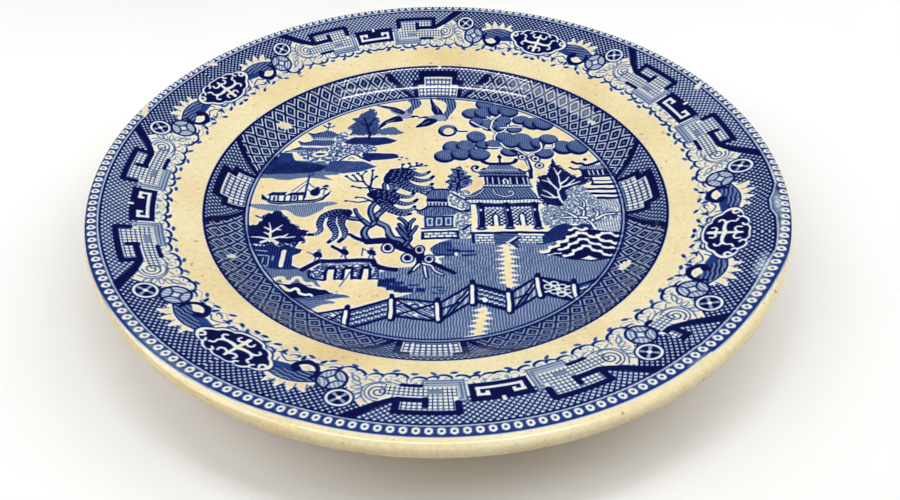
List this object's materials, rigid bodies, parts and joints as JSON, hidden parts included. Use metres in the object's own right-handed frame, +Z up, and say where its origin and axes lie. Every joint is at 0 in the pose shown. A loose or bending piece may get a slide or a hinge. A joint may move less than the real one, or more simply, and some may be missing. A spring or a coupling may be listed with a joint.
{
  "type": "dinner plate",
  "caption": "Round china dinner plate with a low foot ring, a coved well, a sloping rim with a rounded lip, and blue printed decoration under the glaze.",
  "frame": {"origin": "on the table, at the centre of the foot ring", "axes": "+Z up along the axis the plate is turned about; +Y towards the top of the printed scene; +X to the scene's right"},
  "size_m": [0.254, 0.254, 0.028],
  "materials": {
    "biscuit": "bare fired earthenware, matt and slightly gritty",
    "cobalt_print": "cobalt blue print under a clear glossy glaze",
    "glaze": "glossy lead glaze, aged ivory"
  },
  "bodies": {
    "root": {"earthenware_body": "biscuit", "scene_print": "cobalt_print", "shoulder_band_print": "cobalt_print", "rim_border_print": "cobalt_print", "glaze_coat": "glaze", "foot_well_glaze": "glaze"}
  },
  "joints": []
}
